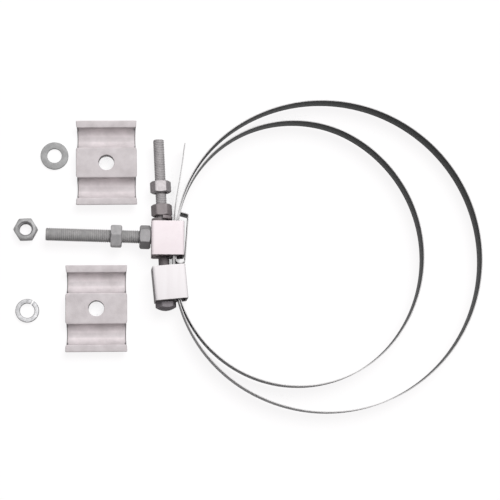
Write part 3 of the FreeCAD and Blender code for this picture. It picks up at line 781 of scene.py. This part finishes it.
def band_path():
    """All strands end to end, with their headings."""
    lean_angle = math.radians(STRAND_LEAN)
    cosine = math.cos(lean_angle)
    hook_x = (RIGHT_FACE + HALF_HEIGHT * math.sin(math.radians(UPPER_TURN)) + HOOK_ROOM
              + BAND_THICKNESS / 2 + HALF_HEIGHT * math.tan(lean_angle))
    slots = (hook_x - FIRST_STRAND) * cosine
    fold = (HALF_HEIGHT + FOLD_DROP) / cosine
    shift = slots / 2 * math.tan(lean_angle)
    hook = chain((hook_x, 0.0), 90 - STRAND_LEAN, (HALF_HEIGHT + HOOK_RISE) / cosine,
                 (HOOK_BEND, HOOK_TURN + STRAND_LEAN), HOOK_FLAP)
    fall = chain((hook_x, 0.0), -90 - STRAND_LEAN, fold + shift, (slots / 2, -180), fold - shift)
    first, second = strand_up(FIRST_STRAND), strand_up(SECOND_STRAND)
    down = (HALF_HEIGHT - SHEET) / cosine
    out_below = ((SECOND_STRAND, 0.0), -90 - STRAND_LEAN, down,
                 (RISE_RADIUS, RISE_HEADING - 90 + STRAND_LEAN))
    second_low = chain(*out_below, RISE_STRAIGHT, (INNER_LOW, INNER_END - RISE_HEADING))
    split = chain(*out_below)[0][-1] + heading(RISE_HEADING + 90) * STRAND_SPACING
    tail_low = chain(split, RISE_HEADING + 180, RISE_STRAIGHT,
                     (OUTER_LOW, OUTER_END - RISE_HEADING))
    over = (RISE_RADIUS + STRAND_SPACING, 90 - TAIL_LEAN - RISE_HEADING)
    top = bend(split, RISE_HEADING, *over)[0][-1][1]
    tail = chain(split, RISE_HEADING, over,
                 (HALF_HEIGHT - top) / math.cos(math.radians(TAIL_LEAN)),
                 (TAIL_BOW, TAIL_BOW_TURN), TAIL_STRAIGHT,
                 (TAIL_END / math.radians(TAIL_END_TURN), TAIL_END_TURN))
    inner = loop((first[0][-1], first[1][-1]), (second_low[0][-1], INNER_END), INNER_LOOP)
    outer = loop((second[0][-1], second[1][-1]), (tail_low[0][-1], OUTER_END), OUTER_LOOP)
    strands = [backwards(hook), fall, first, inner, backwards(second_low), second, outer,
               backwards(tail_low), tail]
    points = np.concatenate([s[0] for s in strands])
    headings = np.concatenate([s[1] for s in strands])
    fresh = np.r_[True, np.linalg.norm(np.diff(points, axis=0), axis=1) > 1e-4]
    return points[fresh], headings[fresh]


def band():
    """The strip stands on edge, then leans about the buckle until its far side rests."""
    points, headings = band_path()
    path = np.column_stack((points, np.full(len(points), BAND_LIFT + BAND_WIDTH / 2)))
    sideways = np.column_stack((heading(headings + 90), np.zeros(len(points))))
    up = np.tile((0.0, 0.0, 1.0), (len(points), 1))
    section = rounded_box(BAND_THICKNESS, BAND_WIDTH, BAND_EDGE, 3)
    shape, faces = grid(carried(path, sideways, up, section, True))
    far_side = OUTER_LOOP[0] + OUTER_LOOP[1] + BAND_THICKNESS / 2
    tilt = math.atan2(BAND_LIFT, far_side - SECOND_STRAND)
    c, s = math.cos(tilt), math.sin(tilt)
    hinge = np.array((SECOND_STRAND, 0, 0))
    shape = (shape - hinge) @ np.array([(c, 0, -s), (0, 1, 0), (s, 0, c)]) + hinge
    steps = np.linalg.norm(np.diff(points, axis=0), axis=1)
    print("Band length, mm:", round(float(steps.sum()), 1))
    return [(shape, faces)]


put("pole_band_strip", band(), "root", ["pole_band"], band_steel)

# %% [markdown]
# ## Cable plates
# The two plates are alike: a casting with a flat land that the stud goes through, a half-round
# groove each side for a cable, and a lip beyond each groove. The section is drawn once, from the
# middle of the land out, and mirrored. It is carried along the plate's length. At each end the
# ring of points moves inwards as it goes round a quarter circle, so every edge of the casting is
# soft, and the deeper a point lies in a groove, the wider its quarter circle, so the grooves open
# out at their mouths. The ends slope, as a casting's do to leave its mould, so a point's reach
# along the plate depends on its height. The grooves' ends stand back from the land's and the
# lips', with a round corner between.
#
# The hole could be cut by a Boolean modifier. Here a patch of the land is left out of the grid,
# and a second grid runs from the patch's rim in to the hole, down it, and out again below.

# %% Plate section
PLATE_LENGTH, LIP, LAND, GROOVE, WALL = 52.4, 6.3, 26.7, 8.75, 3.5
LIP_THICKNESS, LAND_THICKNESS, DRAFT, EDGE, SOFT_END, MOUTH = 5.0, 8.0, 8.0, 0.9, 0.6, 2.0
PATCH_X, PATCH_Y, PATCH_STEPS, HOLE = 12.0, 11.0, 13, 6.75
CORNER, GROOVE_INSET, INSET_FADE, END_DRAFT = 2.4, 1.7, 3.0, 6.0
HOLE_RIM, HOLE_SOFT, FIRST_RING, BESIDE_GROOVE = 0.9, 0.4, 4.0, 1.0
PLATE_TOP = WALL + GROOVE


def arc(y, z, radius, start, end, steps):
    """Points of a circle in the section, with angles in degrees from +Y towards +Z."""
    a = np.radians(np.linspace(start, end, steps))
    return np.stack([y + radius * np.cos(a), z + radius * np.sin(a)], 1)


def plate_outline():
    """The section as a closed ring: across the land's top, out and round one side, back under
    the land and round the other side. With it come the height of the land's underside and each
    point's radius for the soft ends, from SOFT_END up to MOUTH at the bottom of a groove."""
    middle = LAND / 2 + GROOVE
    edge = middle + GROOVE + LIP
    bulge = GROOVE + WALL
    start = math.degrees(math.asin(EDGE / GROOVE))
    lip_low, land_low = PLATE_TOP - LIP_THICKNESS, PLATE_TOP - LAND_THICKNESS
    low_edge = edge - LIP_THICKNESS * math.tan(math.radians(DRAFT))
    lip_angle = -math.degrees(math.asin(LIP_THICKNESS / bulge))
    land_angle = -180 + math.degrees(math.asin(LAND_THICKNESS / bulge))
    half_top = np.concatenate([
        arc(LAND / 2 - EDGE, PLATE_TOP - EDGE, EDGE, 90, 0, 5),
        arc(middle, PLATE_TOP, GROOVE, 180 + start, 360 - start, 25),
        arc(middle + GROOVE + EDGE, PLATE_TOP - EDGE, EDGE, 180, 90, 5),
        arc(edge - EDGE, PLATE_TOP - EDGE, EDGE, 90, 0, 5)])
    half_low = np.concatenate([
        arc(low_edge - EDGE, lip_low + EDGE, EDGE, 0, -90, 5),
        arc(middle, PLATE_TOP, bulge, lip_angle, land_angle, 25)])
    patch = np.linspace(PATCH_Y, -PATCH_Y, PATCH_STEPS)
    mirror = np.array((-1, 1))
    ring = np.concatenate([
        np.stack([patch, 0 * patch + PLATE_TOP], 1), half_top * mirror, half_low * mirror,
        np.stack([-patch, 0 * patch + land_low], 1), half_low[::-1], half_top[::-1]])
    from_middle = np.hypot(np.abs(ring[:, 0]) - middle, ring[:, 1] - PLATE_TOP)
    in_groove = from_middle < GROOVE + BESIDE_GROOVE
    depth = np.clip((PLATE_TOP - ring[:, 1]) / GROOVE, 0, 1)
    return ring, land_low, SOFT_END + (MOUTH - SOFT_END) * depth * in_groove


# %% Plate body
def groove_inset(ring, land_low):
    """How far the grooves' ends stand back: all of GROOVE_INSET along a groove, easing to none
    over a quarter circle of CORNER across the land and the lips beside it."""
    beside = np.abs(np.abs(ring[:, 0]) - (LAND / 2 + GROOVE)) - GROOVE
    t = np.clip(1 - beside / CORNER, 0, 1)
    upper = np.clip((ring[:, 1] - land_low) / INSET_FADE, 0, 1)
    return GROOVE_INSET * (1 - np.sqrt(1 - t * t)) * upper


def cable_plate(x, y, degrees):
    """The carried section with its soft sloping ends, and the hole's own grid."""
    ring, land_low, soft = plate_outline()
    along = np.roll(ring, -1, 0) - np.roll(ring, 1, 0)
    inwards = np.stack([-along[:, 1], along[:, 0]], 1)
    inwards /= np.maximum(np.linalg.norm(inwards, axis=1), 1e-9)[:, None]
    middle = np.linspace(-PATCH_X, PATCH_X, PATCH_STEPS)
    turn = np.linspace(0, math.pi / 2, 5)
    inset = np.concatenate([[0], 1 - np.cos(turn)])
    short = np.concatenate([[FIRST_RING], 1 - np.sin(turn)])
    insets = np.concatenate([inset[::-1], 0 * middle, inset])[:, None] * soft
    shorts = np.concatenate([short[::-1], 0 * middle, short])[:, None] * soft
    side = np.concatenate([-np.ones(len(inset)), 0 * middle, np.ones(len(inset))])
    place = ring[None] + inwards[None] * insets[..., None]
    slope = (PLATE_TOP - place[..., 1]) * math.tan(math.radians(END_DRAFT))
    reach = PLATE_LENGTH / 2 - np.maximum(slope, groove_inset(ring, land_low))
    straight = np.concatenate([0 * inset, middle, 0 * inset])
    length = side[:, None] * (reach - shorts) + straight[:, None]
    points = np.concatenate([length[..., None], place], 2)

    def outside_patch(corners):
        centre = corners.mean(1)
        flat = np.ptp(corners[..., 2], axis=1) < 1e-6
        return ~(flat & (np.abs(centre[:, 0]) < PATCH_X) & (np.abs(centre[:, 1]) < PATCH_Y))

    rim = np.linspace(-1, 1, PATCH_STEPS)[:-1]
    square = np.concatenate([np.stack([0 * rim + 1, rim], 1), np.stack([-rim, 0 * rim + 1], 1),
                             np.stack([0 * rim - 1, -rim], 1), np.stack([rim, 0 * rim - 1], 1)])
    square = square * (PATCH_X, PATCH_Y)
    ray = square / np.linalg.norm(square, axis=1)[:, None]
    hole = [(square, 0.0), (square * 0.5 + ray * (HOLE + HOLE_RIM) * 0.5, 0.0)]
    hole += [(ray * (HOLE + HOLE_SOFT * (1 - math.sin(t))), HOLE_SOFT * (1 - math.cos(t)))
             for t in turn]
    levels = [(outline, PLATE_TOP - drop) for outline, drop in hole]
    levels += [(outline, land_low + drop) for outline, drop in hole[::-1]]
    count = len(ring)
    ends = [np.arange(count), np.arange(count)[::-1] + (len(insets) - 1) * count]
    parts = [grid(points, keep=outside_patch), grid(at_heights(levels))]
    return [(turned(p, degrees, (x, y, 0)), f) for p, f in parts], ends


# Each plate's spot on the table, and its turn in degrees.
for name, spot in (("upper_cable_plate", (-49.35, 67.4, 1.2)),
                   ("lower_cable_plate", (-56.05, -59.6, 0.9))):
    parts, ends = cable_plate(*spot)
    put(name + "_cast", parts, "root", [name], cast_metal, ends)

# %% [markdown]
# ## Floor and light
# The picture has a white ground with hardly any shadow. A white floor alone would throw so much
# light back that the undersides and sides of the pieces lose their shading. So the floor is a
# middling grey to the light that bounces, and it is lifted to white for the camera and for
# what is mirrored in metal, through the Light Path node. In the narrowest gaps that glow fades,
# as the photograph is dark there. One soft sun stands high over the table, a little to the
# right and behind, and a weak sky fills the rest.

# %% Floor
FLOOR_HALF, FLOOR_DROP, FLOOR_GREY = 4, 0.0003, (0.12, 0.12, 0.12, 1)
GLOW, GLOW_STRENGTH = (1, 0.99, 0.995, 1), 0.90
GAP_REACH, GAP_SAMPLES, GAP_DARK, GAP_OPEN = 0.025, 8, 0.02, 0.10


def seen_rays(tree):
    """1 for rays from the camera, from gloss and through glass, and 0 for light that bounces:
    the largest of three of Light Path's outputs."""
    path = node(tree, "LightPath")
    seen = path.outputs["Is Camera Ray"]
    for other in ("Is Glossy Ray", "Is Transmission Ray"):
        either = node(tree, "Math", "MAXIMUM")
        tree.links.new(seen, either.inputs[0])
        tree.links.new(path.outputs[other], either.inputs[1])
        seen = either.outputs["Value"]
    return seen


def floor_material():
    """A diffuse grey plus a glow for the rays that see it. The glow is full where at least a
    tenth of what is above a point is open, and fades to none at a fiftieth."""
    material = bpy.data.materials.new("pale_floor")
    material.use_nodes = True
    tree = material.node_tree
    links = tree.links
    tree.nodes.remove(tree.nodes["Principled BSDF"])
    cloth = node(tree, "BsdfDiffuse", Color=FLOOR_GREY)
    glow = node(tree, "Emission", Color=GLOW)
    strength = node(tree, "Math", "MULTIPLY")
    # The glow fades by ambient occlusion, which paints shade onto the floor in narrow gaps between
    # the pieces.
    openness = node(tree, "AmbientOcclusion", Distance=GAP_REACH)
    openness.samples = GAP_SAMPLES
    fade = node(tree, "MapRange", From_Min=GAP_DARK, From_Max=GAP_OPEN, To_Max=GLOW_STRENGTH)
    both = node(tree, "AddShader")
    links.new(openness.outputs["AO"], fade.inputs["Value"])
    links.new(seen_rays(tree), strength.inputs[0])
    links.new(fade.outputs["Result"], strength.inputs[1])
    links.new(strength.outputs["Value"], glow.inputs["Strength"])
    links.new(cloth.outputs["BSDF"], both.inputs[0])
    links.new(glow.outputs["Emission"], both.inputs[1])
    links.new(both.outputs["Shader"], tree.nodes["Material Output"].inputs["Surface"])
    return material


corners = np.array([(-1, -1, 0), (1, -1, 0), (1, 1, 0), (-1, 1, 0)]) * FLOOR_HALF
floor_mesh = bpy.data.meshes.new("floor")
floor_mesh.from_pydata(corners.tolist(), [], [(0, 1, 2, 3)])
floor_mesh.materials.append(floor_material())
floor = bpy.data.objects.new("floor", floor_mesh)
floor.location.z = -FLOOR_DROP
bpy.context.scene.collection.objects.link(floor)
print("Floor side, m:", 2 * FLOOR_HALF)

# %% Lamp and sky
SKY_COLOUR, SKY_LIGHT, SKY_SEEN = (1, 0.985, 0.99, 1), 0.22, 1.0
SUN_STRENGTH, SUN_WIDTH, SUN_TURN = 2.75, 35, (-22, 14, 0)
sky = bpy.data.worlds.new("sky")
bpy.context.scene.world = sky
sky.use_nodes = True
tree = sky.node_tree
ground = tree.nodes["Background"]
ground.inputs["Color"].default_value = SKY_COLOUR
strength = node(tree, "MapRange", To_Min=SKY_LIGHT, To_Max=SKY_SEEN)
tree.links.new(seen_rays(tree), strength.inputs["Value"])
tree.links.new(strength.outputs["Result"], ground.inputs["Strength"])

lamp_data = bpy.data.lights.new("key", "SUN")
lamp_data.energy = SUN_STRENGTH
lamp_data.angle = math.radians(SUN_WIDTH)
lamp = bpy.data.objects.new("key", lamp_data)
lamp.rotation_euler = [math.radians(degrees) for degrees in SUN_TURN]
bpy.context.scene.collection.objects.link(lamp)
print("Lamp strength:", lamp_data.energy, "sky strength:", SKY_LIGHT)

# %% [markdown]
# ## The view
# The picture is shown with the Standard view, so a colour comes out about as it is written.

# %% Finish
bpy.context.scene.view_settings.view_transform = "Standard"
